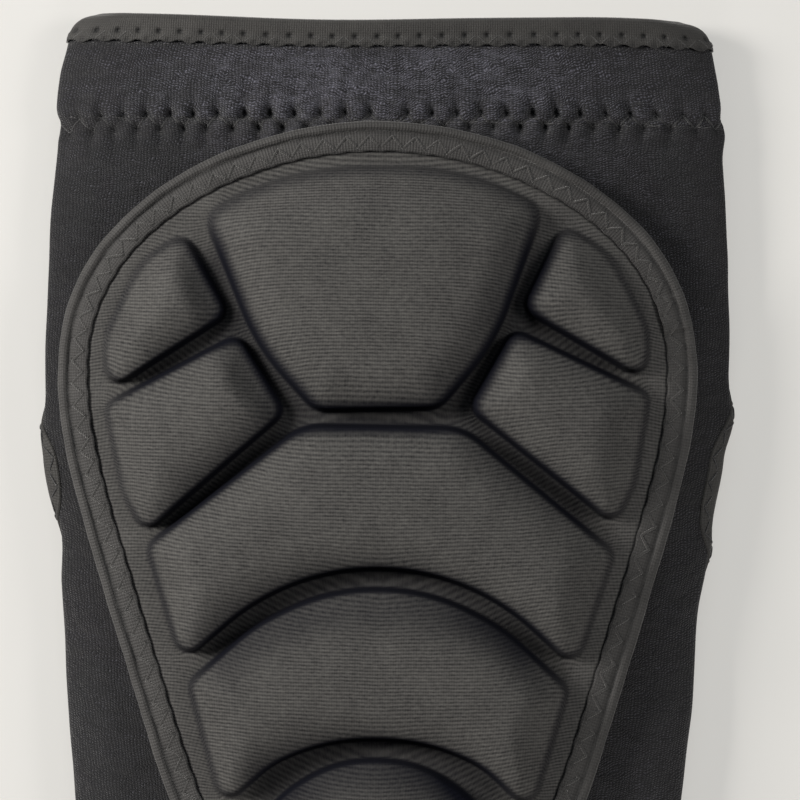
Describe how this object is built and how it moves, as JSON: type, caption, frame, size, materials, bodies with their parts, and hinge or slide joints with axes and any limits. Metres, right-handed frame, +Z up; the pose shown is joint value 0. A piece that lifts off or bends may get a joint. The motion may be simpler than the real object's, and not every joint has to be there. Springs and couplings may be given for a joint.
{
  "type": "elbow pad",
  "caption": "Pull-on elbow pad: flattened stretch sleeve with an egg-shaped quilted foam pad on its front, bound edges and a bound opening at the elbow crease.",
  "frame": {"origin": "on the table the sleeve lies on, under the centre of its bounding box", "axes": "+X across the sleeve, +Y along it towards the upper arm, +Z up through the pad"},
  "size_m": [0.1374, 0.22, 0.0284],
  "materials": {
    "sleeve_neoprene": "matt knit face on neoprene foam",
    "cuff_neoprene": "matt, slightly fluffed knit face",
    "binding_tape": "ribbed elastic tape",
    "ribbed_cover": "fine ribbed jersey with a soft sheen",
    "foam": "matt closed-cell foam",
    "thread": "matt polyester thread",
    "lining": "plain knit lining"
  },
  "bodies": {
    "upper_arm": {"upper_hem_binding": "binding_tape", "upper_hem_thread": "thread", "upper_cuff_band": "cuff_neoprene", "upper_cuff_seam_thread": "thread", "upper_sleeve_panel": "sleeve_neoprene", "upper_back_seam_thread": "thread", "upper_crease_binding": "binding_tape", "upper_crease_thread": "thread", "shield_block": "foam", "left_upper_side_block": "foam", "right_upper_side_block": "foam", "left_lower_side_block": "foam", "right_lower_side_block": "foam", "pad_backing_upper": "foam", "pad_lining_upper": "lining", "pad_cover_upper": "ribbed_cover", "pad_binding_upper": "binding_tape", "pad_thread_upper": "thread"},
    "forearm": {"large_arch_block": "foam", "small_arch_block": "foam", "tip_block": "foam", "pad_backing_lower": "foam", "pad_lining_lower": "lining", "pad_cover_lower": "ribbed_cover", "pad_binding_lower": "binding_tape", "pad_thread_lower": "thread", "lower_sleeve_panel": "sleeve_neoprene", "lower_back_seam_thread": "thread", "lower_crease_binding": "binding_tape", "lower_crease_thread": "thread", "lower_cuff_band": "cuff_neoprene", "lower_cuff_seam_thread": "thread", "lower_hem_binding": "binding_tape", "lower_hem_thread": "thread"}
  },
  "joints": [
    {"name": "elbow_flex", "type": "hinge", "parent": "upper_arm", "child": "forearm", "pos_m": [0, 0.0176, 0.0055], "axis": [1, 0, 0], "range_deg": [0, 120], "stiffness_Nm_per_rad": 0.08}
  ]
}
